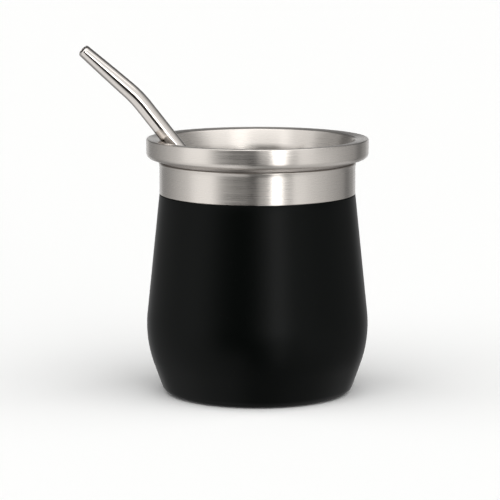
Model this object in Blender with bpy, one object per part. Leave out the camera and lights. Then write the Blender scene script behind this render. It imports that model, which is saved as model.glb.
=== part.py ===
"""A double-walled steel cup for mate, with a bent steel drinking straw standing in it.

Units are metres, +Z is up, and the cup stands on z = 0 with its axis on the Z axis.
The cup's pieces are turned about that axis from an outline in the (radius, height) plane.
The straw is swept along a bent centre line, and leans on the left of the rim.
"""
import math

import bmesh
import bpy
from mathutils import Vector

MM = 0.001

# Driving dimensions: the cup
CUP_HEIGHT = 92.4 * MM
RIM_RADIUS = 40.0 * MM
COLLAR_HEIGHT = 7.2 * MM
COLLAR_TOP_FILLET = 0.45 * MM
COLLAR_FOOT_FILLET = 2.15 * MM
LIP_WIDTH = 4.9 * MM
LIP_SLOPE = math.radians(3.5)
LIP_ROUND = 0.9 * MM
GROOVE_HEIGHT = 1.3 * MM
GROOVE_RADIUS = 34.5 * MM
NECK_RADIUS = 35.3 * MM
NECK_SHOULDER = 0.8 * MM
COATING_TOP = 72.4 * MM
WALL = 2.5 * MM
FUNNEL_ANGLE = math.radians(21.5)
FUNNEL_BLEND = 8.0 * MM
FLOOR_HEIGHT = 9.0 * MM
FLOOR_CORNER = 5.0 * MM

# Driving dimensions: the coated outer body, a flare, a belly arc, a taper and a corner
BELLY_RADIUS = 40.1 * MM
BELLY_HEIGHT = 24.8 * MM
BELLY_ARC = 42.0 * MM
FLARE_ANGLE = math.radians(6.0)
TAPER_ANGLE = math.radians(19.5)
FOOT_CORNER = 4.0 * MM
SHELL_WALL = 1.0 * MM
SHELL_EDGE = 0.2 * MM
BASE_DISC_RADIUS = 28.2 * MM
BASE_DISC_EDGE = 0.3 * MM

# Driving dimensions: the straw
STRAW_TURN = math.radians(9.0)
STRAW_LEAN = math.radians(38.0)
MOUTHPIECE_LEAN = math.radians(48.4)
STRAW_RADIUS = 3.0 * MM
STRAW_WALL = 0.5 * MM
RIM_TO_BEND = 17.4 * MM
BEND_TO_TIP = 25.85 * MM
BEND_RADIUS = 45.0 * MM
TIP_HALF_THICKNESS = 2.33 * MM
TIP_HALF_WIDTH = 3.55 * MM
TIP_ROUND = 0.2 * MM
FLATTENING_EASE = 1.6

# Driving dimensions: the strainer at the straw's foot
STRAINER_RADIUS = 4.4 * MM
STRAINER_WALL = 0.6 * MM
STRAINER_BODY = 18.0 * MM
STRAINER_TAPER = 4.0 * MM
STRAINER_SLEEVE = 7.0 * MM
HOLE_RADIUS = 0.7 * MM
HOLE_ROWS = 4
HOLES_AROUND = 6
FIRST_HOLE_ROW = 2.5 * MM
HOLE_PITCH = 4.2 * MM

# Gap between pieces that touch, and how finely round things are divided
FIT_GAP = 0.3 * MM
CUP_SEGMENTS = 64
STRAW_SIDES = 20
STRAINER_SIDES = 24
HOLE_SIDES = 8
BELLY_STEPS = 7
CORNER_STEPS = 4
FILLET_STEPS = 3
BEND_STEPS = 6
MOUTHPIECE_STEPS = 5
SHARP_ANGLE = math.radians(35.0)

COLLAR_FOOT = CUP_HEIGHT - COLLAR_HEIGHT
GROOVE_FOOT = COLLAR_FOOT - GROOVE_HEIGHT
TOP_EDGE_CENTRE = (RIM_RADIUS - COLLAR_TOP_FILLET, CUP_HEIGHT - COLLAR_TOP_FILLET)


def lip_centre():
    """Return the centre of the lip's round inner edge.

    The lip falls gently inwards, so its surface touches the collar's top edge and this
    lower inner edge alike.
    """
    radius = RIM_RADIUS - LIP_WIDTH + LIP_ROUND
    fall = (TOP_EDGE_CENTRE[0] - radius) * math.tan(LIP_SLOPE)
    rise = (COLLAR_TOP_FILLET - LIP_ROUND) / math.cos(LIP_SLOPE)
    return radius, TOP_EDGE_CENTRE[1] - fall + rise


LIP_CENTRE = lip_centre()
LIP_NORMAL = math.pi / 2 + LIP_SLOPE


def clear_scene():
    """Remove every object that the file opened with."""
    for existing in list(bpy.data.objects):
        bpy.data.objects.remove(existing, do_unlink=True)


def make_material(name, colour, roughness, metallic):
    """Return a Principled BSDF material."""
    material = bpy.data.materials.new(name)
    material.use_nodes = True
    shader = material.node_tree.nodes["Principled BSDF"]
    shader.inputs["Base Color"].default_value = (*colour, 1.0)
    shader.inputs["Roughness"].default_value = roughness
    shader.inputs["Metallic"].default_value = metallic
    material.diffuse_color = (*colour, 1.0)
    return material


def arc(centre, radius, start, end, steps):
    """Return points of an arc in the (radius, height) plane, both ends included."""
    points = []
    for step in range(steps + 1):
        angle = start + (end - start) * step / steps
        points.append((centre[0] + radius * math.cos(angle), centre[1] + radius * math.sin(angle)))
    return points


def flare_radius(inset, height):
    """Return the flared wall's radius at a height, `inset` inside the coated surface."""
    belly_centre = BELLY_RADIUS - BELLY_ARC
    reach = belly_centre * math.cos(FLARE_ANGLE) + BELLY_HEIGHT * math.sin(FLARE_ANGLE)
    reach += BELLY_ARC - inset
    return (reach - height * math.sin(FLARE_ANGLE)) / math.cos(FLARE_ANGLE)


def body_side(inset, corner, floor):
    """Return the body's side from the flare's foot down to the flat floor.

    The side lies `inset` inside the coated surface, and ends in a corner of the given
    radius that touches both the tapered wall and the floor height.
    """
    belly_centre = BELLY_RADIUS - BELLY_ARC
    belly = arc((belly_centre, BELLY_HEIGHT), BELLY_ARC - inset, FLARE_ANGLE, -TAPER_ANGLE, BELLY_STEPS)
    reach = belly_centre * math.cos(TAPER_ANGLE) - BELLY_HEIGHT * math.sin(TAPER_ANGLE)
    reach += BELLY_ARC - inset
    corner_height = floor + corner
    corner_radius = (reach - corner + corner_height * math.sin(TAPER_ANGLE)) / math.cos(TAPER_ANGLE)
    foot = arc((corner_radius, corner_height), corner, -TAPER_ANGLE, -math.pi / 2, CORNER_STEPS)
    return belly + foot


def funnel_outline(bore):
    """Return the mouth from the top of the neck's bore up to the flat of the lip.

    The blend above the bore and the lip's round inner edge both touch the same slope,
    and that fixes the height of the blend.
    """
    slope = math.pi - FUNNEL_ANGLE
    reach = LIP_CENTRE[0] * math.cos(slope) + LIP_CENTRE[1] * math.sin(slope) + LIP_ROUND
    blend_radius = bore + FUNNEL_BLEND
    blend_height = (reach - FUNNEL_BLEND - blend_radius * math.cos(slope)) / math.sin(slope)
    blend = arc((blend_radius, blend_height), FUNNEL_BLEND, math.pi, slope, FILLET_STEPS)
    return blend + arc(LIP_CENTRE, LIP_ROUND, slope, LIP_NORMAL, CORNER_STEPS)


def vessel_outline():
    """Return the steel vessel's outline, from the middle of its floor round to its underside."""
    outline = [(0.0, FLOOR_HEIGHT)]
    outline += reversed(body_side(WALL, FLOOR_CORNER, FLOOR_HEIGHT))
    bore = flare_radius(WALL, COATING_TOP)
    outline.append((bore, COATING_TOP))
    outline += funnel_outline(bore)

    # The collar, with a nearly sharp top edge and a rounded foot
    outline += arc(TOP_EDGE_CENTRE, COLLAR_TOP_FILLET, LIP_NORMAL, math.pi / 2, 1)
    outline += arc(TOP_EDGE_CENTRE, COLLAR_TOP_FILLET, math.pi / 2, 0.0, FILLET_STEPS)[1:]
    foot_centre = (RIM_RADIUS - COLLAR_FOOT_FILLET, COLLAR_FOOT + COLLAR_FOOT_FILLET)
    outline += arc(foot_centre, COLLAR_FOOT_FILLET, 0.0, -math.pi / 2, CORNER_STEPS)

    # The groove under it, the neck's rounded shoulder and the neck
    outline.append((GROOVE_RADIUS, COLLAR_FOOT))
    outline.append((GROOVE_RADIUS, GROOVE_FOOT))
    shoulder_centre = (NECK_RADIUS - NECK_SHOULDER, GROOVE_FOOT - NECK_SHOULDER)
    outline += arc(shoulder_centre, NECK_SHOULDER, math.pi / 2, 0.0, FILLET_STEPS)
    neck_foot = COATING_TOP + FIT_GAP / 2
    outline.append((NECK_RADIUS, neck_foot))

    # Behind the coated shell, a gap inside its inner face
    hidden = SHELL_WALL + FIT_GAP
    outline.append((flare_radius(hidden, neck_foot), neck_foot))
    outline += body_side(hidden, FOOT_CORNER - hidden, hidden)
    outline.append((0.0, hidden))
    return outline


def shell_outline():
    """Return the closed outline of the coated outer body."""
    top = COATING_TOP - FIT_GAP / 2
    seam = BASE_DISC_RADIUS + FIT_GAP
    outline = [(flare_radius(0.0, top) - SHELL_EDGE, top)]
    outline.append((flare_radius(0.0, top - SHELL_EDGE), top - SHELL_EDGE))
    outline += body_side(0.0, FOOT_CORNER, 0.0)
    outline.append((seam, 0.0))
    outline.append((seam, SHELL_WALL))
    outline += reversed(body_side(SHELL_WALL, FOOT_CORNER - SHELL_WALL, SHELL_WALL))
    outline.append((flare_radius(SHELL_WALL, top), top))
    return outline


def base_outline():
    """Return the base disc's outline, from the middle of its top to the middle of its underside."""
    return [
        (0.0, SHELL_WALL),
        (BASE_DISC_RADIUS, SHELL_WALL),
        (BASE_DISC_RADIUS, BASE_DISC_EDGE),
        (BASE_DISC_RADIUS - BASE_DISC_EDGE, 0.0),
        (0.0, 0.0),
    ]


def strainer_outline():
    """Return the strainer's outline about the straw's axis: a pierced bulb with a sleeve.

    Height 0 is the middle of the round end. The outline starts at that end's lowest
    point, runs up the outside, over the sleeve's mouth and down the inside.
    """
    bore = STRAINER_RADIUS - STRAINER_WALL
    sleeve_bore = STRAW_RADIUS + FIT_GAP
    sleeve_foot = STRAINER_BODY + STRAINER_TAPER
    sleeve_top = sleeve_foot + STRAINER_SLEEVE
    outline = arc((0.0, 0.0), STRAINER_RADIUS, -math.pi / 2, 0.0, CORNER_STEPS)
    outline.append((STRAINER_RADIUS, STRAINER_BODY))
    outline.append((sleeve_bore + STRAINER_WALL, sleeve_foot))
    outline.append((sleeve_bore + STRAINER_WALL, sleeve_top))
    outline.append((sleeve_bore, sleeve_top))
    outline.append((sleeve_bore, sleeve_foot))
    outline.append((bore, STRAINER_BODY))
    outline += arc((0.0, 0.0), bore, 0.0, -math.pi / 2, CORNER_STEPS)
    return outline


def link_mesh(name, bm, material):
    """Turn a bmesh into a named object in the scene, with its faces out and shaded smooth."""
    bmesh.ops.recalc_face_normals(bm, faces=bm.faces)
    mesh = bpy.data.meshes.new(name)
    bm.to_mesh(mesh)
    bm.free()
    mesh.materials.append(material)
    mesh.shade_smooth()
    mesh.set_sharp_from_angle(angle=SHARP_ANGLE)
    made = bpy.data.objects.new(name, mesh)
    bpy.context.scene.collection.objects.link(made)
    return made


def turn(name, outline, segments, material, closed=False):
    """Spin an outline in the XZ plane about Z into one closed body."""
    bm = bmesh.new()
    corners = [bm.verts.new((radius, 0.0, height)) for radius, height in outline]
    edges = [bm.edges.new(pair) for pair in zip(corners, corners[1:])]
    if closed:
        edges.append(bm.edges.new((corners[-1], corners[0])))
    bmesh.ops.spin(
        bm,
        geom=corners + edges,
        cent=(0.0, 0.0, 0.0),
        axis=(0.0, 0.0, 1.0),
        angle=2.0 * math.pi,
        steps=segments,
        use_merge=True,
    )
    bmesh.ops.remove_doubles(bm, verts=bm.verts, dist=0.001 * MM)
    return link_mesh(name, bm, material)


def leaning(lean):
    """Return the direction along a tube that leans to -X, and the direction across it."""
    along = Vector((-math.sin(lean), 0.0, math.cos(lean)))
    across = Vector((math.cos(lean), 0.0, math.sin(lean)))
    return along, across


def straw_foot_and_bend():
    """Return the middle of the strainer's round end and the corner of the straw's bend.

    The tube lies on the round inner edge of the lip, so its centre line passes that
    edge's centre at the edge's radius, the gap and the tube's radius. The strainer
    stands on the cup's floor.
    """
    shaft, across = leaning(STRAW_LEAN)
    lip = Vector((-LIP_CENTRE[0], 0.0, LIP_CENTRE[1]))
    rim_point = lip + across * (LIP_ROUND + FIT_GAP + STRAW_RADIUS)
    foot_height = FLOOR_HEIGHT + FIT_GAP + STRAINER_RADIUS
    foot = rim_point - shaft * ((rim_point.z - foot_height) / shaft.z)
    return foot, rim_point + shaft * RIM_TO_BEND


def straw_stations():
    """Return the tube's outside as rings: point, lean, half thickness and half width.

    The shaft is round and straight. From the bend on, the tube is pressed flatter and
    wider towards its tip, quickest near the tip.
    """
    foot, bend = straw_foot_and_bend()
    shaft, across = leaning(STRAW_LEAN)
    mouthpiece = leaning(MOUTHPIECE_LEAN)[0]
    start = foot + shaft * (STRAINER_BODY + STRAINER_TAPER + FIT_GAP)
    bend_angle = MOUTHPIECE_LEAN - STRAW_LEAN
    bend_start = bend - shaft * (BEND_RADIUS * math.tan(bend_angle / 2.0))
    bend_centre = bend_start - across * BEND_RADIUS

    places = []
    for step in range(BEND_STEPS + 1):
        lean = STRAW_LEAN + bend_angle * step / BEND_STEPS
        places.append((bend_centre + leaning(lean)[1] * BEND_RADIUS, lean))
    bend_end = places[-1][0]
    tip = bend + mouthpiece * (BEND_TO_TIP - TIP_ROUND)
    for step in range(1, MOUTHPIECE_STEPS + 1):
        places.append((bend_end.lerp(tip, step / MOUTHPIECE_STEPS), MOUTHPIECE_LEAN))

    stations = [(start, STRAW_LEAN, STRAW_RADIUS, STRAW_RADIUS)]
    length = (tip - bend_start).length
    for point, lean in places:
        flattened = ((point - bend_start).length / length) ** FLATTENING_EASE
        thickness = STRAW_RADIUS + (TIP_HALF_THICKNESS - STRAW_RADIUS) * flattened
        width = STRAW_RADIUS + (TIP_HALF_WIDTH - STRAW_RADIUS) * flattened
        stations.append((point, lean, thickness, width))
    return stations


def straw_ring(bm, point, lean, thickness, width):
    """Add one oval ring of the tube, square to its centre line."""
    across = leaning(lean)[1]
    depth = Vector((0.0, 1.0, 0.0))
    ring = []
    for side in range(STRAW_SIDES):
        angle = 2.0 * math.pi * side / STRAW_SIDES
        offset = across * (thickness * math.cos(angle)) + depth * (width * math.sin(angle))
        ring.append(bm.verts.new(point + offset))
    return ring


def build_straw_tube(material):
    """Build the bent tube, open at both ends, as rings up the outside and down the bore."""
    stations = straw_stations()
    bm = bmesh.new()
    rings = [straw_ring(bm, *station) for station in stations]
    tip = stations[-1][0] + leaning(MOUTHPIECE_LEAN)[0] * TIP_ROUND
    for inset in (TIP_ROUND, STRAW_WALL - TIP_ROUND / 2.0):
        size = (TIP_HALF_THICKNESS - inset, TIP_HALF_WIDTH - inset)
        rings.append(straw_ring(bm, tip, MOUTHPIECE_LEAN, *size))
    for point, lean, thickness, width in reversed(stations):
        rings.append(straw_ring(bm, point, lean, thickness - STRAW_WALL, width - STRAW_WALL))
    rings.append(rings[0])
    for lower, upper in zip(rings, rings[1:]):
        for side in range(STRAW_SIDES):
            after = (side + 1) % STRAW_SIDES
            bm.faces.new((lower[side], lower[after], upper[after], upper[side]))
    tube = link_mesh("straw_tube", bm, material)
    tube.rotation_euler.z = STRAW_TURN
    return tube


def build_hole_cutter(name, height, angle, parent):
    """Build one hidden cutter, longer than the strainer is wide, that pierces both its walls."""
    bm = bmesh.new()
    bmesh.ops.create_cone(
        bm,
        cap_ends=True,
        segments=HOLE_SIDES,
        radius1=HOLE_RADIUS,
        radius2=HOLE_RADIUS,
        depth=4.0 * STRAINER_RADIUS,
    )
    mesh = bpy.data.meshes.new(name)
    bm.to_mesh(mesh)
    bm.free()
    cutter = bpy.data.objects.new(name, mesh)
    cutter.location.z = height
    cutter.rotation_euler = (math.pi / 2, 0.0, angle)
    cutter.parent = parent
    cutter.hide_render = True
    cutter.display_type = "WIRE"
    return cutter


def build_strainer(material):
    """Build the pierced bulb on the straw's foot."""
    strainer = turn("straw_strainer", strainer_outline(), STRAINER_SIDES, material)
    cutters = bpy.data.collections.new("strainer_hole_cutters")
    bpy.context.scene.collection.children.link(cutters)
    middle_of_side = math.pi / STRAINER_SIDES
    for row in range(HOLE_ROWS):
        stagger = 0.5 * (row % 2)
        for place in range(HOLES_AROUND // 2):
            angle = middle_of_side + 2.0 * math.pi * (place + stagger) / HOLES_AROUND
            height = FIRST_HOLE_ROW + HOLE_PITCH * row
            name = f"strainer_hole_{row + 1}_{place + 1}"
            cutters.objects.link(build_hole_cutter(name, height, angle, strainer))
    holes = strainer.modifiers.new("holes", "BOOLEAN")
    holes.operand_type = "COLLECTION"
    holes.collection = cutters
    holes.operation = "DIFFERENCE"

    foot = straw_foot_and_bend()[0]
    strainer.location = (foot.x * math.cos(STRAW_TURN), foot.x * math.sin(STRAW_TURN), foot.z)
    strainer.rotation_euler = (0.0, -STRAW_LEAN, STRAW_TURN)
    return strainer


def main():
    """Build the cup and its straw."""
    clear_scene()
    brushed_steel = make_material("brushed_steel", (0.58, 0.55, 0.52), 0.30, 1.0)
    polished_steel = make_material("polished_steel", (0.62, 0.60, 0.58), 0.15, 1.0)
    black_coating = make_material("black_coating", (0.008, 0.008, 0.009), 0.45, 0.0)

    turn("cup_vessel", vessel_outline(), CUP_SEGMENTS, brushed_steel)
    turn("cup_shell", shell_outline(), CUP_SEGMENTS, black_coating, closed=True)
    turn("cup_base", base_outline(), CUP_SEGMENTS, brushed_steel)
    build_straw_tube(polished_steel)
    build_strainer(polished_steel)


main()
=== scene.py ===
# %% [markdown]
# # A steel mate cup and its drinking straw
#
# This notebook dresses one small object: a double-walled stainless steel cup with a broad
# brushed rim and a black powder-coated body, and a bent steel straw that leans in it. A plain
# model of the same object, the frame, is loaded first. It fixes every size and place, and each
# fine piece made below stands exactly where its plain solid stands.

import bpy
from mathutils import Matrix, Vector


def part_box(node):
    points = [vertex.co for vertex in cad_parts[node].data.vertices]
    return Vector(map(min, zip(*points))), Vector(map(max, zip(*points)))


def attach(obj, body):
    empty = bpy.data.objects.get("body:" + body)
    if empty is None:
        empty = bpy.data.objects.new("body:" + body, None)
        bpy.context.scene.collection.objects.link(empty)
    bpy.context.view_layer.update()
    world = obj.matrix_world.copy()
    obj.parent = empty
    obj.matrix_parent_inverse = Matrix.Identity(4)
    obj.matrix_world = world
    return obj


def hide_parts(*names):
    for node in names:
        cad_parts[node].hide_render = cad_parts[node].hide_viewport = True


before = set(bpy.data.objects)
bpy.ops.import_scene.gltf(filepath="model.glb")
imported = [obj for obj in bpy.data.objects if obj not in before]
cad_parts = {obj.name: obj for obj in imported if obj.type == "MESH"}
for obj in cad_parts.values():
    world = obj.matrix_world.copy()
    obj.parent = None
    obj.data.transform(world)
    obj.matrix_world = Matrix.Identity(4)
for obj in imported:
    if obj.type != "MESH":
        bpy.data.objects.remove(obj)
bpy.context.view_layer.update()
print("nodes:", sorted(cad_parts))

# %% [markdown]
# The frame is in metres. Sizes here are written in millimetres, as on a workshop drawing, and
# `MM` turns them into metres.

# %% Modules and units
import math

import bmesh
import bpy
from mathutils import Matrix, Vector

MM = 0.001

print("one millimetre is", MM, "m")

# %% [markdown]
# ## The camera
#
# A product photograph is taken with a long lens from far away, because a short one swells the
# near side of a round cup. The ellipse of a round rim tells how steeply it is seen: this rim is
# 222 pixels wide and its front edge lies 24 pixels under its back edge, which makes 6 degrees.
# The foot is seen more steeply, by about 12 degrees, because it lies lower. The two together fix
# the distance, 0.9 m, and a camera there that aims at the cup's middle looks down by 8.6 degrees.

# %% Camera
CAMERA_DISTANCE = 900.0 * MM
CAMERA_PITCH = math.radians(8.573)
AIM_HEIGHT = 51.58 * MM
AIM_SIDE = -2.68 * MM
LENS = 178.9
SENSOR = 36.0

lens = bpy.data.cameras.new("camera")
lens.lens = LENS
lens.sensor_width = SENSOR
lens.dof.use_dof = False
camera = bpy.data.objects.new("camera", lens)
camera.location = (
    AIM_SIDE,
    -CAMERA_DISTANCE * math.cos(CAMERA_PITCH),
    AIM_HEIGHT + CAMERA_DISTANCE * math.sin(CAMERA_PITCH),
)
camera.rotation_euler = (math.pi / 2.0 - CAMERA_PITCH, 0.0, 0.0)
bpy.context.scene.collection.objects.link(camera)
bpy.context.scene.camera = camera
print("camera at", [round(value, 4) for value in camera.location])

# %% [markdown]
# ## One helper for every node tree
#
# Materials and the world are both trees of nodes. One small function adds a node, sets its
# properties, and fills its inputs with values or with other nodes' outputs. An input is named
# by its label, or by its number where two inputs share a label. The two colours of a Mix node
# and its colour result share their labels with plain numbers, so their numbers get names here.

# %% Add a node
MIX_FROM = 6
MIX_TO = 7
MIX_RESULT = 2


def add_node(tree, kind, inputs=None, **settings):
    """Add a shader node with its settings, and fill its inputs with values or links."""
    node = tree.nodes.new("ShaderNode" + kind)
    for name, value in settings.items():
        setattr(node, name, value)
    for socket, value in (inputs or {}).items():
        if isinstance(value, bpy.types.NodeSocket):
            tree.links.new(value, node.inputs[socket])
        else:
            node.inputs[socket].default_value = value
    return node


# %% [markdown]
# ## Colours
#
# Colours are picked as sRGB hex values, the numbers that a paint program shows. A renderer adds
# and multiplies light, so it needs linear values, and this one function turns one into the other.

# %% Colours from hex
def linear(hex_colour):
    """Turn an sRGB hex colour such as #8a8a8a into linear red, green, blue and alpha."""
    colour = []
    for start in (1, 3, 5):
        value = int(hex_colour[start:start + 2], 16) / 255.0
        colour.append(value / 12.92 if value <= 0.04045 else ((value + 0.055) / 1.055) ** 2.4)
    return (*colour, 1.0)


print("middle grey #808080 is", round(linear("#808080")[0], 3), "in linear light")

# %% [markdown]
# ## The light tent
#
# Bare metal has no colour of its own to show. It shows the room, so the room is designed: a
# white tent with soft lamps and dark cards, which is how steel is photographed. Lamps and cards
# could be meshes with emission, but the same room can be computed from the direction of each
# ray, which gives no noise and no shadow edges. A direction becomes an azimuth, 0 degrees at
# the camera and growing to the right, and an elevation. The tent's cloth is lit from the front,
# so its wall fades towards the back, its floor is a little dimmer and its ceiling is bright.

# %% Tent directions
world = bpy.data.worlds.new("light_tent")
bpy.context.scene.world = world
world.use_nodes = True
tent = world.node_tree
tent.nodes.clear()
direction = add_node(tent, "TexCoord").outputs["Generated"]
axes = add_node(tent, "SeparateXYZ", {"Vector": direction}).outputs
to_camera = add_node(tent, "Math", {0: axes["Y"], 1: -1.0}, operation="MULTIPLY").outputs[0]
azimuth = add_node(tent, "Math", {0: axes["X"], 1: to_camera}, operation="ARCTAN2").outputs[0]
elevation = add_node(tent, "Math", {0: axes["Z"]}, operation="ARCSINE").outputs[0]
print("tent directions:", len(tent.nodes), "nodes")

# %% [markdown]
# Cloth, lamps and cards all need the same thing: a level that is even round some middle
# direction and then fades to another level. An angle is first measured from its middle, the
# shorter way round, so nothing breaks where the azimuth jumps from 180 to -180 degrees.

# %% Fade round a middle
def fade_round(angle, middle, start, end, at_start, at_end):
    """Return a level that fades between two distances from a middle, all three in degrees."""
    offset = add_node(
        tent, "Math", {0: angle, 1: math.radians(middle)}, operation="SUBTRACT"
    ).outputs[0]
    turned = add_node(
        tent, "Math", {0: offset, 1: math.pi, 2: -math.pi}, operation="WRAP"
    ).outputs[0]
    away = add_node(tent, "Math", {0: turned}, operation="ABSOLUTE").outputs[0]
    edges = {"From Min": math.radians(start), "From Max": math.radians(end)}
    levels = {"To Min": at_start, "To Max": at_end}
    return add_node(
        tent, "MapRange", {"Value": away, **edges, **levels}, interpolation_type="SMOOTHSTEP"
    ).outputs["Result"]


# %% Tent cloth
WALL_MIDDLE = -6.0
WALL_FADE = (45.0, 138.0)
WALL_LIGHT = (1.22, 0.36)
TABLE_MIDDLE = -30.0
TABLE_FADE = (55.0, 115.0)
TABLE_LIGHT = (1.05, 0.28)
CEILING_LIGHT = 1.25
ZENITH_LIGHT = 2.3
UP = 90.0
DOWN = -90.0

wall = fade_round(azimuth, WALL_MIDDLE, *WALL_FADE, *WALL_LIGHT)
table = fade_round(azimuth, TABLE_MIDDLE, *TABLE_FADE, *TABLE_LIGHT)

# Each line: the zone's light, the pole it lies round, and the distances from it where it fades.
ZONES = [
    (table, DOWN, (52.0, 74.0)),
    (CEILING_LIGHT, UP, (40.0, 57.0)),
    (ZENITH_LIGHT, UP, (15.0, 30.0)),
]
tent_light = wall
for light, pole, reach in ZONES:
    mask = fade_round(elevation, pole, *reach, 1.0, 0.0)
    tent_light = add_node(
        tent, "Mix", {"Factor": mask, "A": tent_light, "B": light}, data_type="FLOAT"
    ).outputs["Result"]
print("cloth is lit", WALL_LIGHT[0], "in front and", WALL_LIGHT[1], "behind")

# %% [markdown]
# Lamps and cards are windows of directions with soft edges, laid over the cloth one after
# another. The black card in front gives the steel its dark band, and the narrow strip lamp
# beside it gives the crisp highlight. The card's dark foot runs on under the lamp and draws the
# thin black line down the straw. Flags behind the cup darken the far side of the lip and the
# collar's right end, so that the rim stands out from the pale background.

# %% Lamps and cards
# Each line: name, sides in degrees of azimuth, foot and top in degrees of elevation, width of the
# soft edge at the sides and at the ends, and brightness, where 1 is full white.
PANELS = [
    ("back flag", (130.0, 230.0), (13.0, 75.0), (10.0, 10.0), 0.15),
    ("back wall", (158.0, 202.0), (-20.0, 7.0), (10.0, 4.0), 0.68),
    ("edge flag", (127.0, 134.0), (-25.0, 6.0), (6.0, 6.0), 0.22),
    ("front ceiling", (-40.0, 34.0), (36.0, 60.0), (14.0, 14.0), 2.0),
    ("side ceiling", (50.0, 84.0), (39.0, 60.0), (8.0, 6.0), 1.9),
    ("left lamp", (-73.0, -54.0), (-4.0, 8.0), (18.0, 14.0), 1.45),
    ("left flag", (-114.0, -88.0), (20.0, 30.0), (16.0, 8.0), 0.42),
    ("right flag", (66.0, 100.0), (9.0, 19.0), (12.0, 8.0), 0.3),
    ("table on the right", (24.0, 140.0), (-90.0, -34.0), (16.0, 12.0), 0.72),
    ("table in front", (-16.0, 30.0), (-90.0, -42.0), (16.0, 10.0), 0.5),
    ("card fall-off", (-34.0, -20.0), (-14.0, 4.0), (25.0, 14.0), 0.10),
    ("front card", (-27.0, 0.0), (-14.0, 22.0), (5.0, 12.0), 0.06),
    ("card head", (-16.0, 7.0), (18.0, 27.0), (8.0, 7.0), 0.25),
    ("lamp on the table", (17.0, 28.0), (-24.0, -10.0), (6.0, 10.0), 2.6),
    ("lamp frame", (31.0, 40.0), (-30.0, -6.0), (4.0, 6.0), 0.42),
    ("card edge", (3.0, 12.0), (1.0, 9.0), (5.0, 4.0), 1.5),
    ("lamp glow", (20.0, 30.0), (3.0, 7.0), (5.0, 4.0), 4.5),
    ("strip lamp", (16.0, 25.0), (-0.5, 7.5), (3.0, 2.5), 7.5),
    ("card foot", (-10.0, 16.0), (-35.0, -6.5), (3.0, 3.0), 0.03),
    ("high lamp", (42.0, 62.0), (15.0, 27.0), (4.0, 4.0), 1.1),
]

for name, sides, ends, soft, brightness in PANELS:
    mask = 1.0
    for angle, (low, high), edge in ((azimuth, sides, soft[0]), (elevation, ends, soft[1])):
        half = (high - low) / 2.0
        window = fade_round(angle, low + half, half, half + edge, 1.0, 0.0)
        mask = add_node(tent, "Math", {0: mask, 1: window}, operation="MULTIPLY").outputs[0]
    laid_over = add_node(
        tent, "Mix", {"Factor": mask, "A": tent_light, "B": brightness}, data_type="FLOAT"
    )
    laid_over.label = name
    tent_light = laid_over.outputs["Result"]
print("lamps and cards:", len(PANELS))

# %% [markdown]
# The camera itself must not see the lamps, so a ray that comes straight from the camera finds a
# plain pale backdrop in their place. The Standard view transform keeps each tone as it is, so
# white paper stays white.

# %% Backdrop
BACKDROP = 0.955

seen = add_node(tent, "LightPath").outputs["Is Camera Ray"]
shown_light = add_node(
    tent, "Mix", {"Factor": seen, "A": tent_light, "B": BACKDROP}, data_type="FLOAT"
).outputs["Result"]
background = add_node(tent, "Background", {"Color": shown_light, "Strength": 1.0}).outputs[0]
add_node(tent, "OutputWorld", {"Surface": background})
bpy.context.scene.view_settings.view_transform = "Standard"
bpy.context.scene.view_settings.look = "None"
print("backdrop shows", BACKDROP, "of white")

# %% [markdown]
# ## The floor
#
# The cup stands on matt white paper. In a studio the sheet sweeps up behind the cup. Here one
# flat sheet is enough, because it is so large that its far edge lies above the picture.
# Mirror-like rays don't see it, so the tent alone decides what the steel shows.

# %% Floor
FLOOR_SIDE = 16.0
PAPER_WHITE = "#f7f7f6"
PAPER_ROUGHNESS = 0.9

paper = bpy.data.materials.new("matt_white_paper")
paper.use_nodes = True
paper_shader = paper.node_tree.nodes["Principled BSDF"]
paper_shader.inputs["Base Color"].default_value = linear(PAPER_WHITE)
paper_shader.inputs["Roughness"].default_value = PAPER_ROUGHNESS
paper_shader.inputs["Specular IOR Level"].default_value = 0.0

sheet = bmesh.new()
bmesh.ops.create_grid(sheet, x_segments=1, y_segments=1, size=FLOOR_SIDE / 2.0)
floor_mesh = bpy.data.meshes.new("floor")
sheet.to_mesh(floor_mesh)
sheet.free()
floor_mesh.materials.append(paper)
floor = bpy.data.objects.new("floor", floor_mesh)
floor.visible_glossy = False
bpy.context.scene.collection.objects.link(floor)
print("floor is", FLOOR_SIDE, "m wide")

# %% [markdown]
# ## Outlines
#
# Cups like this are pressed and spun from sheet steel, so every part of one is a turned shape:
# an outline in the plane of radius and height, swung round the axis. The frame is turned from
# the same outlines with few steps. Here an arc gets as many steps as keep each chord within
# 4 micrometres of the true curve, and 256 steps go round the axis, so no edge shows a corner.

# %% Arcs
CHORD_ERROR = 0.004 * MM


def arc(centre, radius, start, end):
    """Return points on an arc in the (radius, height) plane, both ends included."""
    stride = 2.0 * math.acos(1.0 - CHORD_ERROR / radius)
    steps = max(2, math.ceil(abs(end - start) / stride))
    points = []
    for step in range(steps + 1):
        angle = start + (end - start) * step / steps
        points.append((centre[0] + radius * math.cos(angle), centre[1] + radius * math.sin(angle)))
    return points


def straight(start, end, stride):
    """Return the points between two places on a straight line, both ends left out."""
    steps = math.ceil(math.dist(start, end) / stride)
    return [
        tuple(a + (b - a) * step / steps for a, b in zip(start, end)) for step in range(1, steps)
    ]


print("a 90 degree fillet of 1 mm has", len(arc((0.0, 0.0), MM, 0.0, math.pi / 2.0)) - 1, "steps")

# %% [markdown]
# The body's side is a straight flare, a belly arc, a straight taper and a rounded foot. Inner
# walls follow the same line a little further in, so one function serves the coated shell, the
# steel wall behind it and the inside of the cup.

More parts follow.
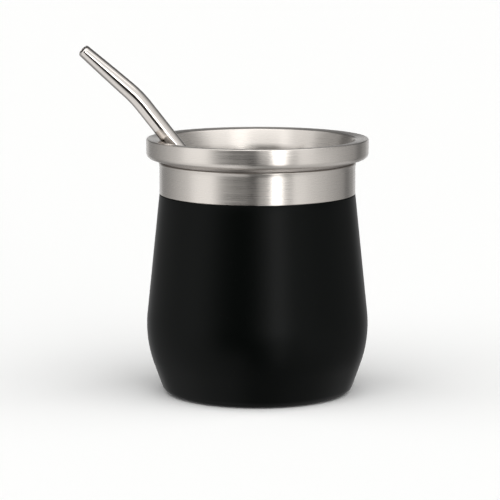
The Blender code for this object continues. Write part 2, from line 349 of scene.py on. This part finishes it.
# %% Body sizes
COATING_TOP = 72.4 * MM
BELLY_RADIUS = 40.1 * MM
BELLY_HEIGHT = 24.8 * MM
BELLY_ARC = 42.0 * MM
FLARE_ANGLE = math.radians(6.0)
TAPER_ANGLE = math.radians(19.5)
FOOT_CORNER = 4.0 * MM
WALL_STRIDE = 3.0 * MM


def flare_radius(inset, height):
    """Return the flared wall's radius at a height, `inset` inside the coated surface."""
    belly_centre = BELLY_RADIUS - BELLY_ARC
    reach = belly_centre * math.cos(FLARE_ANGLE) + BELLY_HEIGHT * math.sin(FLARE_ANGLE)
    reach += BELLY_ARC - inset
    return (reach - height * math.sin(FLARE_ANGLE)) / math.cos(FLARE_ANGLE)


def body_side(inset, corner, floor_height):
    """Return the side from the flare's foot to the flat floor, which a corner rounds off."""
    belly_centre = BELLY_RADIUS - BELLY_ARC
    belly = arc((belly_centre, BELLY_HEIGHT), BELLY_ARC - inset, FLARE_ANGLE, -TAPER_ANGLE)
    reach = belly_centre * math.cos(TAPER_ANGLE) - BELLY_HEIGHT * math.sin(TAPER_ANGLE)
    reach += BELLY_ARC - inset
    corner_height = floor_height + corner
    corner_radius = reach - corner + corner_height * math.sin(TAPER_ANGLE)
    corner_radius /= math.cos(TAPER_ANGLE)
    foot = arc((corner_radius, corner_height), corner, -TAPER_ANGLE, -math.pi / 2.0)
    return belly + straight(belly[-1], foot[0], WALL_STRIDE) + foot


print("belly is", round(2.0 * BELLY_RADIUS / MM, 1), "mm across")

# %% [markdown]
# The rim is what gives this cup its look. A collar 7.2 mm tall stands out round the mouth, with
# a nearly sharp top edge and a rounded foot. Its flat top, the lip, falls gently inwards and
# rolls over into a funnel that leads down to the straight bore. Under the collar runs a narrow
# groove, and then the bare steel neck.

# %% Rim sizes
CUP_HEIGHT = 92.4 * MM
RIM_RADIUS = 40.0 * MM
COLLAR_HEIGHT = 7.2 * MM
COLLAR_TOP_FILLET = 0.45 * MM
COLLAR_FOOT_FILLET = 2.15 * MM
LIP_WIDTH = 4.9 * MM
LIP_SLOPE = math.radians(3.5)
LIP_ROUND = 0.9 * MM
FUNNEL_ANGLE = math.radians(21.5)
FUNNEL_BLEND = 8.0 * MM
GROOVE_HEIGHT = 1.3 * MM
GROOVE_RADIUS = 34.5 * MM
NECK_RADIUS = 35.3 * MM
NECK_SHOULDER = 0.5 * MM
NECK_BEAD = 0.22 * MM
BEAD_FALL = 1.5 * MM
BEAD_STEPS = 8
WALL = 2.5 * MM
FLOOR_HEIGHT = 9.0 * MM
FLOOR_CORNER = 5.0 * MM
SHELL_WALL = 1.0 * MM
FIT_GAP = 0.3 * MM

COLLAR_FOOT = CUP_HEIGHT - COLLAR_HEIGHT
GROOVE_FOOT = COLLAR_FOOT - GROOVE_HEIGHT
TOP_EDGE_CENTRE = (RIM_RADIUS - COLLAR_TOP_FILLET, CUP_HEIGHT - COLLAR_TOP_FILLET)
LIP_NORMAL = math.pi / 2.0 + LIP_SLOPE
LIP_RADIUS = RIM_RADIUS - LIP_WIDTH + LIP_ROUND
LIP_FALL = (TOP_EDGE_CENTRE[0] - LIP_RADIUS) * math.tan(LIP_SLOPE)
LIP_RISE = (COLLAR_TOP_FILLET - LIP_ROUND) / math.cos(LIP_SLOPE)
LIP_CENTRE = (LIP_RADIUS, TOP_EDGE_CENTRE[1] - LIP_FALL + LIP_RISE)

# %% Vessel outline
def funnel_outline(bore):
    """Return the mouth from the top of the bore up to the flat of the lip."""
    slope = math.pi - FUNNEL_ANGLE
    reach = LIP_CENTRE[0] * math.cos(slope) + LIP_CENTRE[1] * math.sin(slope) + LIP_ROUND
    blend_radius = bore + FUNNEL_BLEND
    blend_height = (reach - FUNNEL_BLEND - blend_radius * math.cos(slope)) / math.sin(slope)
    blend = arc((blend_radius, blend_height), FUNNEL_BLEND, math.pi, slope)
    return blend + arc(LIP_CENTRE, LIP_ROUND, slope, LIP_NORMAL)


def vessel_outline():
    """Return the outline from the middle of the inner floor, over the rim, to the underside."""
    side = body_side(WALL, FLOOR_CORNER, FLOOR_HEIGHT)[::-1]
    bore = flare_radius(WALL, COATING_TOP)
    outline = [(0.0, FLOOR_HEIGHT)]
    outline += straight(outline[0], side[0], WALL_STRIDE) + side
    outline += straight(side[-1], (bore, COATING_TOP), WALL_STRIDE)
    outline.append((bore, COATING_TOP))
    outline += funnel_outline(bore)

    outline += arc(TOP_EDGE_CENTRE, COLLAR_TOP_FILLET, LIP_NORMAL, 0.0)
    foot_centre = (RIM_RADIUS - COLLAR_FOOT_FILLET, COLLAR_FOOT + COLLAR_FOOT_FILLET)
    outline += arc(foot_centre, COLLAR_FOOT_FILLET, 0.0, -math.pi / 2.0)
    outline.append((GROOVE_RADIUS, COLLAR_FOOT))
    outline.append((GROOVE_RADIUS, GROOVE_FOOT))
    bead_radius = NECK_RADIUS + NECK_BEAD
    shoulder_centre = (bead_radius - NECK_SHOULDER, GROOVE_FOOT - NECK_SHOULDER)
    outline += arc(shoulder_centre, NECK_SHOULDER, math.pi / 2.0, 0.0)
    for step in range(1, BEAD_STEPS + 1):
        fallen = step / BEAD_STEPS
        radius = NECK_RADIUS + NECK_BEAD * (1.0 - fallen) ** 2
        outline.append((radius, shoulder_centre[1] - BEAD_FALL * fallen))

    neck_foot = COATING_TOP + FIT_GAP / 2.0
    hidden = SHELL_WALL + FIT_GAP
    outline += [(NECK_RADIUS, neck_foot), (flare_radius(hidden, neck_foot), neck_foot)]
    outline += body_side(hidden, FOOT_CORNER - hidden, hidden)
    outline.append((0.0, hidden))
    return outline


print("vessel outline has", len(vessel_outline()), "points")

# %% [markdown]
# ## From an outline to a surface
#
# A turned piece is a stack of rings, and so is a bent tube, so one function skins both. It joins
# each ring to the next with four-sided faces, and lays a UV map as it goes: U runs once round
# the ring, and V is the distance along the piece in millimetres. The grain of brushed metal
# follows those two directions, so the materials read this map.

# %% Skin rings
GRAIN_MAP = "grain"
CUP_SEGMENTS = 256
MERGE_DISTANCE = 0.001 * MM
SHARP_ANGLE = math.radians(35.0)


def skin(name, rings, closed=False):
    """Join rings of points into one smooth object; `closed` joins the last to the first."""
    bm = bmesh.new()
    grain = bm.loops.layers.uv.new(GRAIN_MAP)
    rows = [[bm.verts.new(point) for point in ring] for ring in rings]
    if closed:
        rows.append(rows[0])
    sides = len(rows[0])
    along = 0.0
    for lower, upper in zip(rows, rows[1:]):
        stride = (upper[0].co - lower[0].co).length / MM
        for side in range(sides):
            after = (side + 1) % sides
            face = bm.faces.new((lower[side], lower[after], upper[after], upper[side]))
            corners = [(side, along), (side + 1, along)]
            corners += [(side + 1, along + stride), (side, along + stride)]
            for loop, (turn, length) in zip(face.loops, corners):
                loop[grain].uv = (turn / sides, length)
        along += stride
    bmesh.ops.remove_doubles(bm, verts=bm.verts, dist=MERGE_DISTANCE)
    bmesh.ops.recalc_face_normals(bm, faces=bm.faces)
    mesh = bpy.data.meshes.new(name)
    bm.to_mesh(mesh)
    bm.free()
    mesh.shade_smooth()
    mesh.set_sharp_from_angle(angle=SHARP_ANGLE)
    piece = bpy.data.objects.new(name, mesh)
    bpy.context.scene.collection.objects.link(piece)
    print(name, "has", len(mesh.polygons), "faces")
    return piece


def turned_rings(outline, segments):
    """Return one ring of points about Z for each point of an outline."""
    turns = [2.0 * math.pi * segment / segments for segment in range(segments)]
    return [
        [(radius * math.cos(turn), radius * math.sin(turn), height) for turn in turns]
        for radius, height in outline
    ]


CUP_STEP = 2.0 * math.pi * RIM_RADIUS / CUP_SEGMENTS
print("one step round the rim is", round(CUP_STEP / MM, 2), "mm")

# %% [markdown]
# ## The steel vessel
#
# The inside, the lip, the collar and the neck are one continuous steel skin. They could be
# separate rings set one on another, but on one skin a highlight runs over each edge unbroken, as
# it does on the real pressing.

# %% Vessel
vessel = skin("steel_vessel", turned_rings(vessel_outline(), CUP_SEGMENTS))

# %% [markdown]
# ## The coated shell
#
# The black outer wall is a separate pressing, coated before the cup is welded up. Its top edge
# meets the bare neck in a fine dark seam, and its rounded foot turns in under the cup. The steel
# skin could simply be painted black lower down, but then it would have no seam and no edge, so
# the shell is a closed outline of its own.

# %% Shell
SHELL_EDGE = 0.2 * MM
BASE_DISC_RADIUS = 28.2 * MM


def shell_outline():
    """Return the closed outline, from the middle of the top edge, down the outside and back."""
    top = COATING_TOP - FIT_GAP / 2.0
    seam = BASE_DISC_RADIUS + FIT_GAP
    outside = body_side(0.0, FOOT_CORNER, 0.0)
    inside = body_side(SHELL_WALL, FOOT_CORNER - SHELL_WALL, SHELL_WALL)[::-1]
    edge_centre = (flare_radius(SHELL_EDGE, top - SHELL_EDGE), top - SHELL_EDGE)
    outline = arc(edge_centre, SHELL_EDGE, math.pi / 2.0, FLARE_ANGLE)
    outline += straight(outline[-1], outside[0], WALL_STRIDE) + outside
    outline += [(seam, 0.0), (seam, SHELL_WALL)] + inside
    outline.append((flare_radius(SHELL_WALL, top), top))
    return outline


shell = skin("coated_shell", turned_rings(shell_outline(), CUP_SEGMENTS), closed=True)

# %% [markdown]
# ## The base disc
#
# The underside is closed by a flat steel disc, let in flush with the foot of the shell. A plain
# cylinder would have a knife edge, so the disc is turned as well, with a fine round at its rim
# that catches a line of light.

# %% Base disc
BASE_DISC_EDGE = 0.3 * MM


def base_outline():
    """Return the disc's outline, from the middle of its top to the middle of its underside."""
    edge_centre = (BASE_DISC_RADIUS - BASE_DISC_EDGE, BASE_DISC_EDGE)
    outline = [(0.0, SHELL_WALL), (BASE_DISC_RADIUS, SHELL_WALL)]
    outline += arc(edge_centre, BASE_DISC_EDGE, 0.0, -math.pi / 2.0)
    outline += straight(outline[-1], (0.0, 0.0), WALL_STRIDE)
    outline.append((0.0, 0.0))
    return outline


base_disc = skin("steel_base_disc", turned_rings(base_outline(), CUP_SEGMENTS))

# %% [markdown]
# ## The straw
#
# A steel straw starts as a round tube, 6 mm across with a wall of half a millimetre. It is bent
# once, a little above the rim, and its mouthpiece is pressed flatter towards the tip. A curve
# with a bevel would give one round section all along, so the tube is skinned from rings whose
# width and thickness change on the way. It lies on the round inner edge of the lip, and its foot
# stands in the corner of the cup's floor, so the rim and the floor fix where it is.

# %% Straw sizes
STRAW_TURN = math.radians(9.0)
STRAW_LEAN = math.radians(38.0)
MOUTHPIECE_LEAN = math.radians(48.4)
STRAW_RADIUS = 3.0 * MM
STRAW_WALL = 0.5 * MM
RIM_TO_BEND = 17.4 * MM
BEND_TO_TIP = 25.85 * MM
BEND_RADIUS = 45.0 * MM
TIP_HALF_THICKNESS = 2.33 * MM
TIP_HALF_WIDTH = 3.55 * MM
TIP_ROUND = 0.9 * MM
TIP_TURN_IN = 0.7 * MM
FLATTENING_EASE = 1.6
STRAINER_RADIUS = 4.4 * MM
STRAINER_BODY = 18.0 * MM
STRAINER_TAPER = 4.0 * MM

STRAW_SIDES = 60
SHAFT_STEPS = 30
BEND_STEPS = 24
MOUTHPIECE_STEPS = 30


def leaning(lean):
    """Return the direction along a tube that leans to -X, and the direction across it."""
    along = Vector((-math.sin(lean), 0.0, math.cos(lean)))
    across = Vector((math.cos(lean), 0.0, math.sin(lean)))
    return along, across


def straw_foot_and_bend():
    """Return the middle of the strainer's round end and the corner of the straw's bend."""
    shaft, across = leaning(STRAW_LEAN)
    lip = Vector((-LIP_CENTRE[0], 0.0, LIP_CENTRE[1]))
    rim_point = lip + across * (LIP_ROUND + FIT_GAP + STRAW_RADIUS)
    foot_height = FLOOR_HEIGHT + FIT_GAP + STRAINER_RADIUS
    foot = rim_point - shaft * ((rim_point.z - foot_height) / shaft.z)
    return foot, rim_point + shaft * RIM_TO_BEND


STRAW_FOOT, STRAW_BEND = straw_foot_and_bend()
print("straw is", round((STRAW_BEND - STRAW_FOOT).length / MM + BEND_TO_TIP / MM, 1), "mm long")

# %% Straw rings
def straw_stations():
    """Return the outside as stations: point, lean, half thickness and half width."""
    shaft, across = leaning(STRAW_LEAN)
    mouthpiece = leaning(MOUTHPIECE_LEAN)[0]
    start = STRAW_FOOT + shaft * (STRAINER_BODY + STRAINER_TAPER + FIT_GAP)
    bend_angle = MOUTHPIECE_LEAN - STRAW_LEAN
    bend_start = STRAW_BEND - shaft * (BEND_RADIUS * math.tan(bend_angle / 2.0))
    bend_centre = bend_start - across * BEND_RADIUS

    places = []
    for step in range(SHAFT_STEPS):
        places.append((start.lerp(bend_start, step / SHAFT_STEPS), STRAW_LEAN))
    for step in range(BEND_STEPS + 1):
        lean = STRAW_LEAN + bend_angle * step / BEND_STEPS
        places.append((bend_centre + leaning(lean)[1] * BEND_RADIUS, lean))
    bend_end = places[-1][0]
    tip = STRAW_BEND + mouthpiece * (BEND_TO_TIP - TIP_ROUND)
    for step in range(1, MOUTHPIECE_STEPS + 1):
        places.append((bend_end.lerp(tip, step / MOUTHPIECE_STEPS), MOUTHPIECE_LEAN))

    stations = []
    length = (tip - bend_start).length
    for number, (point, lean) in enumerate(places):
        beyond = (point - bend_start).length / length if number > SHAFT_STEPS else 0.0
        flattened = beyond ** FLATTENING_EASE
        thickness = STRAW_RADIUS + (TIP_HALF_THICKNESS - STRAW_RADIUS) * flattened
        width = STRAW_RADIUS + (TIP_HALF_WIDTH - STRAW_RADIUS) * flattened
        stations.append((point, lean, thickness, width))
    return stations


def straw_ring(point, lean, thickness, width):
    """Return one oval ring of the tube, square to its centre line."""
    across = leaning(lean)[1]
    depth = Vector((0.0, 1.0, 0.0))
    turns = [2.0 * math.pi * side / STRAW_SIDES for side in range(STRAW_SIDES)]
    return [
        point + across * (thickness * math.cos(turn)) + depth * (width * math.sin(turn))
        for turn in turns
    ]


def straw_rings():
    """Return the tube's rings up the outside, over the rounded tip and down the bore."""
    stations = straw_stations()
    rings = [straw_ring(*station) for station in stations]
    point, lean, thickness, width = stations[-1]
    forward = leaning(lean)[0]
    for inset, rise in arc((TIP_TURN_IN, 0.0), TIP_TURN_IN, math.pi, 0.0)[1:]:
        rise *= TIP_ROUND / TIP_TURN_IN
        inset = min(inset, TIP_TURN_IN + STRAW_WALL / 2.0)
        rings.append(straw_ring(point + forward * rise, lean, thickness - inset, width - inset))
    for point, lean, thickness, width in stations[-2::-1]:
        rings.append(straw_ring(point, lean, thickness - STRAW_WALL, width - STRAW_WALL))
    return rings


straw = skin("steel_straw", straw_rings(), closed=True)
straw.data.transform(Matrix.Rotation(STRAW_TURN, 4, "Z"))

# %% [markdown]
# ## The strainer
#
# The foot of such a straw ends in a pierced bulb that holds back the leaves. It is a short tube
# with a domed end, drilled in four staggered rows, and a narrow sleeve that takes the straw. Holes
# could be painted on as dark dots, but they have to let light through. So Boolean cutters go
# through the bulb, as the drill does.

# %% Strainer
STRAINER_WALL = 0.6 * MM
STRAINER_SLEEVE = 7.0 * MM
STRAINER_SEGMENTS = 72
HOLE_RADIUS = 0.7 * MM
HOLE_ROWS = 4
HOLES_AROUND = 6
FIRST_HOLE_ROW = 2.5 * MM
HOLE_PITCH = 4.2 * MM
HOLE_SIDES = 24
FRAME_STRAINER_SIDES = 24
DRILL_LENGTH = 4.0 * STRAINER_RADIUS


def strainer_outline():
    """Return the outline about the straw's axis, up the outside and down the inside."""
    bore = STRAINER_RADIUS - STRAINER_WALL
    sleeve_bore = STRAW_RADIUS + FIT_GAP
    sleeve_foot = STRAINER_BODY + STRAINER_TAPER
    sleeve_top = sleeve_foot + STRAINER_SLEEVE
    outline = arc((0.0, 0.0), STRAINER_RADIUS, -math.pi / 2.0, 0.0)
    outline.append((STRAINER_RADIUS, STRAINER_BODY))
    outline.append((sleeve_bore + STRAINER_WALL, sleeve_foot))
    outline.append((sleeve_bore + STRAINER_WALL, sleeve_top))
    outline.append((sleeve_bore, sleeve_top))
    outline.append((sleeve_bore, sleeve_foot))
    outline.append((bore, STRAINER_BODY))
    outline += arc((0.0, 0.0), bore, 0.0, -math.pi / 2.0)
    return outline


strainer = skin("steel_strainer", turned_rings(strainer_outline(), STRAINER_SEGMENTS))

# %% Strainer holes
drill = bmesh.new()
for row in range(HOLE_ROWS):
    stagger = 0.5 * (row % 2)
    for place in range(HOLES_AROUND // 2):
        turn = math.pi / FRAME_STRAINER_SIDES + 2.0 * math.pi * (place + stagger) / HOLES_AROUND
        height = FIRST_HOLE_ROW + HOLE_PITCH * row
        lay = Matrix.Translation((0.0, 0.0, height)) @ Matrix.Rotation(turn, 4, "Z")
        bmesh.ops.create_cone(
            drill,
            cap_ends=True,
            segments=HOLE_SIDES,
            radius1=HOLE_RADIUS,
            radius2=HOLE_RADIUS,
            depth=DRILL_LENGTH,
            matrix=lay @ Matrix.Rotation(math.pi / 2.0, 4, "X"),
        )
drill_mesh = bpy.data.meshes.new("drill")
drill.to_mesh(drill_mesh)
drill.free()
drill_object = bpy.data.objects.new("drill", drill_mesh)
bpy.context.scene.collection.objects.link(drill_object)

cut = strainer.modifiers.new("holes", "BOOLEAN")
cut.object = drill_object
cut.operation = "DIFFERENCE"
cut.use_self = True
evaluated = strainer.evaluated_get(bpy.context.evaluated_depsgraph_get())
strainer.data = bpy.data.meshes.new_from_object(evaluated)
strainer.modifiers.clear()
strainer.data.set_sharp_from_angle(angle=SHARP_ANGLE)
bpy.data.objects.remove(drill_object)

turn = Matrix.Rotation(STRAW_TURN, 4, "Z")
lean = Matrix.Rotation(-STRAW_LEAN, 4, "Y")
strainer.data.transform(turn @ Matrix.Translation(STRAW_FOOT) @ lean)
print("strainer has", len(strainer.data.polygons), "faces after drilling")

# %% [markdown]
# ## Brushed stainless steel
#
# The vessel is 304 stainless steel, brushed with an abrasive belt while it turns on a lathe. The
# belt leaves fine scratches that run round the axis. They are the cause of everything the eye
# reads as brushed: a lamp's reflection keeps crisp left and right edges, and it smears into a
# tall vertical band. The Anisotropic input does that smearing, with a tangent that runs round the
# Z axis. The single scratches are too fine for the picture, about 0.05 mm apart, so they are
# drawn 0.4 mm apart, just wide enough to show as faint streaks.

# %% Grain
def grain_noise(tree, around, along, detail):
    """Return streaky noise from 0 to 1: cells `around` mm long round the axis, `along` mm wide."""
    place = add_node(tree, "TexCoord").outputs["Object"]
    xyz = add_node(tree, "SeparateXYZ", {"Vector": place}).outputs
    length = add_node(tree, "UVMap", uv_map=GRAIN_MAP).outputs["UV"]
    millimetres = add_node(tree, "SeparateXYZ", {"Vector": length}).outputs["Y"]
    x = add_node(tree, "Math", {0: xyz["X"], 1: 1.0 / (around * MM)}, operation="MULTIPLY").outputs[0]
    y = add_node(tree, "Math", {0: xyz["Y"], 1: 1.0 / (around * MM)}, operation="MULTIPLY").outputs[0]
    z = add_node(tree, "Math", {0: millimetres, 1: 1.0 / along}, operation="MULTIPLY").outputs[0]
    streaks = add_node(tree, "CombineXYZ", {"X": x, "Y": y, "Z": z}).outputs["Vector"]
    return add_node(
        tree, "TexNoise", {"Vector": streaks, "Scale": 1.0, "Detail": detail}, noise_dimensions="3D"
    ).outputs["Fac"]


# %% [markdown]
# Noise mostly stays between 0.3 and 0.7, so that range is spread over the two roughness values.
# The smear lies along the tangent, and a quarter turn lays it across the scratches instead.

# %% Brushed steel
NOISE_RANGE = {"From Min": 0.3, "From Max": 0.7}
BRUSHED_LIGHT = "#d3cdc7"
BRUSHED_DARK = "#c4bfb9"
BRUSHED_ROUGHNESS = {"To Min": 0.255, "To Max": 0.315}
BRUSHED_SMEAR = 0.85
QUARTER_TURN = 0.25
SCRATCH_DETAIL = 3.0
SCRATCH_PITCH = 0.4
SCRATCH_LENGTH = 18.0
SCRATCH_DEPTH = 0.0014 * MM

brushed_steel = bpy.data.materials.new("brushed_stainless_steel")
brushed_steel.use_nodes = True
tree = brushed_steel.node_tree
scratches = grain_noise(tree, SCRATCH_LENGTH, SCRATCH_PITCH, SCRATCH_DETAIL)
tone = add_node(
    tree,
    "Mix",
    {"Factor": scratches, MIX_FROM: linear(BRUSHED_DARK), MIX_TO: linear(BRUSHED_LIGHT)},
    data_type="RGBA",
).outputs[MIX_RESULT]
gloss = add_node(
    tree, "MapRange", {"Value": scratches, **NOISE_RANGE, **BRUSHED_ROUGHNESS}
).outputs["Result"]
relief = add_node(
    tree, "Bump", {"Height": scratches, "Strength": 1.0, "Distance": SCRATCH_DEPTH}
).outputs[0]
round_axis = add_node(tree, "Tangent", direction_type="RADIAL", axis="Z").outputs[0]
shader = tree.nodes["Principled BSDF"]
shader.inputs["Metallic"].default_value = 1.0
shader.inputs["Anisotropic"].default_value = BRUSHED_SMEAR
shader.inputs["Anisotropic Rotation"].default_value = QUARTER_TURN
for socket, output in (
    ("Base Color", tone), ("Roughness", gloss), ("Normal", relief), ("Tangent", round_axis)
):
    tree.links.new(output, shader.inputs[socket])
vessel.data.materials.append(brushed_steel)
base_disc.data.materials.append(brushed_steel)
print("brushed steel has scratches", SCRATCH_PITCH, "mm apart and", len(tree.nodes), "nodes")

# %% [markdown]
# ## Turned steel and painted shade in the groove
#
# The belt can't reach into the narrow groove or under the collar, so the steel there stays as
# the lathe left it: duller, with no direction to its shine. Its colour is also darker and greyer
# than the brushed steel's, and that is painted shade for the shade that falls there under the
# collar. The groove could be a ring of its own, but a second material on the same skin's faces
# leaves no join to hide.

# %% Turned steel with painted shade
# Painted shade: both tones are darker and greyer than the brushed steel's, for the shade under the
# collar.
TURNED_SHADED_LIGHT = "#b8b2ad"
TURNED_SHADED_DARK = "#a49e99"
TURNED_ROUGHNESS = 0.5
TOOL_MARK_DETAIL = 2.0
BELOW_GROOVE = 0.01 * MM
ABOVE_GROOVE = 0.1 * MM

turned_and_shaded_steel = bpy.data.materials.new("turned_steel_with_painted_shade")
turned_and_shaded_steel.use_nodes = True
tree = turned_and_shaded_steel.node_tree
tool_marks = grain_noise(tree, SCRATCH_LENGTH, SCRATCH_PITCH, TOOL_MARK_DETAIL)
tone = add_node(
    tree,
    "Mix",
    {"Factor": tool_marks, MIX_FROM: linear(TURNED_SHADED_DARK), MIX_TO: linear(TURNED_SHADED_LIGHT)},
    data_type="RGBA",
).outputs[MIX_RESULT]
shader = tree.nodes["Principled BSDF"]
shader.inputs["Metallic"].default_value = 1.0
shader.inputs["Roughness"].default_value = TURNED_ROUGHNESS
tree.links.new(tone, shader.inputs["Base Color"])
vessel.data.materials.append(turned_and_shaded_steel)

# The groove's wall and the collar's underside get the turned finish and its painted shade.
unreached_and_shaded = 0
for face in vessel.data.polygons:
    outside = math.hypot(face.center.x, face.center.y) > GROOVE_RADIUS - FIT_GAP
    if outside and GROOVE_FOOT - BELOW_GROOVE < face.center.z < COLLAR_FOOT + ABOVE_GROOVE:
        face.material_index = 1
        unreached_and_shaded += 1
print("faces left as turned:", unreached_and_shaded)

# %% [markdown]
# ## Polished steel tube
#
# Straws are drawn tube, polished between rotating wheels. Little of the grain is left, so lamps
# and cards show in them as crisp lines that run the whole length and bend where the tube bends.
# A trace of cloudiness along the tube keeps the lines from looking like chrome.

# %% Polished steel
POLISHED_LIGHT = "#d8d3ce"
POLISHED_DARK = "#cbc5c0"
POLISHED_ROUGHNESS = {"To Min": 0.08, "To Max": 0.13}
POLISH_PITCH = 0.5
POLISH_LENGTH = 3.0
POLISH_DETAIL = 2.0

polished_steel = bpy.data.materials.new("polished_stainless_steel")
polished_steel.use_nodes = True
tree = polished_steel.node_tree
polish = grain_noise(tree, POLISH_LENGTH, POLISH_PITCH, POLISH_DETAIL)
tone = add_node(
    tree,
    "Mix",
    {"Factor": polish, MIX_FROM: linear(POLISHED_DARK), MIX_TO: linear(POLISHED_LIGHT)},
    data_type="RGBA",
).outputs[MIX_RESULT]
gloss = add_node(
    tree, "MapRange", {"Value": polish, **NOISE_RANGE, **POLISHED_ROUGHNESS}
).outputs["Result"]
shader = tree.nodes["Principled BSDF"]
shader.inputs["Metallic"].default_value = 1.0
for socket, output in (("Base Color", tone), ("Roughness", gloss)):
    tree.links.new(output, shader.inputs[socket])
straw.data.materials.append(polished_steel)
strainer.data.materials.append(polished_steel)
print("polished steel has a roughness of", list(POLISHED_ROUGHNESS.values()))

# %% [markdown]
# ## Black powder coat
#
# Powder coat is a polyester powder, sprayed on dry and baked until it melts together. It cools
# to a thin satin skin with a very fine orange peel. That gives the eye a deep black with broad,
# soft highlights, and a faint sparkle where single grains catch the light. The sparkle is painted:
# faint lighter dots in the coat's colour stand in for those glints. The real peel is about 0.2 mm
# across, and it is drawn 0.45 mm across so that it shows. A specular level of 0.5 is usual for
# paint. It is far lower here, because the tent's lamps are many times brighter than paper and
# would turn the black to grey.

# %% Powder coat
COAT_BLACK = "#010302"
# Painted sparkle: the lighter colour of the dots that stand in for glints off single grains.
COAT_PAINTED_SPARKLE = "#151716"
COAT_ROUGHNESS = 0.36
COAT_SHINE = 0.086
PEEL_SIZE = 0.45 * MM
PEEL_DEPTH = 0.006 * MM
PEEL_DETAIL = 2.0
PAINTED_SPARKLE_SPACING = 3.0 * MM
PAINTED_SPARKLE_EDGE = {"From Min": 0.03, "From Max": 0.06, "To Min": 1.0, "To Max": 0.0}

powder_coat = bpy.data.materials.new("black_powder_coat")
powder_coat.use_nodes = True
tree = powder_coat.node_tree
place = add_node(tree, "TexCoord").outputs["Object"]
peel = add_node(
    tree, "TexNoise", {"Vector": place, "Scale": 1.0 / PEEL_SIZE, "Detail": PEEL_DETAIL}
).outputs["Fac"]
relief = add_node(
    tree, "Bump", {"Height": peel, "Strength": 1.0, "Distance": PEEL_DEPTH}
).outputs[0]
# Painted sparkle: a faint lighter dot near the middle of each cell stands in for a glint.
sparkle_cells = add_node(
    tree, "TexVoronoi", {"Vector": place, "Scale": 1.0 / PAINTED_SPARKLE_SPACING}
).outputs["Distance"]
painted_sparkle = add_node(tree, "MapRange", {"Value": sparkle_cells, **PAINTED_SPARKLE_EDGE}).outputs["Result"]
tone = add_node(
    tree,
    "Mix",
    {"Factor": painted_sparkle, MIX_FROM: linear(COAT_BLACK), MIX_TO: linear(COAT_PAINTED_SPARKLE)},
    data_type="RGBA",
).outputs[MIX_RESULT]
shader = tree.nodes["Principled BSDF"]
shader.inputs["Roughness"].default_value = COAT_ROUGHNESS
shader.inputs["Specular IOR Level"].default_value = COAT_SHINE
for socket, output in (("Base Color", tone), ("Normal", relief)):
    tree.links.new(output, shader.inputs[socket])
shell.data.materials.append(powder_coat)
print("powder coat has a peel of", round(PEEL_SIZE / MM, 2), "mm")

# %% [markdown]
# ## Put the pieces in the frame
#
# Each fine piece takes the place of its plain solid and rides on the frame's one body.

# %% Pieces and nodes
PIECES = [
    (vessel, "cup_vessel", "brushed_steel"),
    (shell, "cup_shell", "black_coating"),
    (base_disc, "cup_base", "brushed_steel"),
    (straw, "straw_tube", "polished_steel"),
    (strainer, "straw_strainer", "polished_steel"),
]

for piece, node, slot in PIECES:
    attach(piece, "root")
    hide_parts(node)
    low_corner, high_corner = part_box(node)
    size = [round(value / MM, 2) for value in high_corner - low_corner]
    print(piece.name, "stands for", node, "which measures", size, "mm")
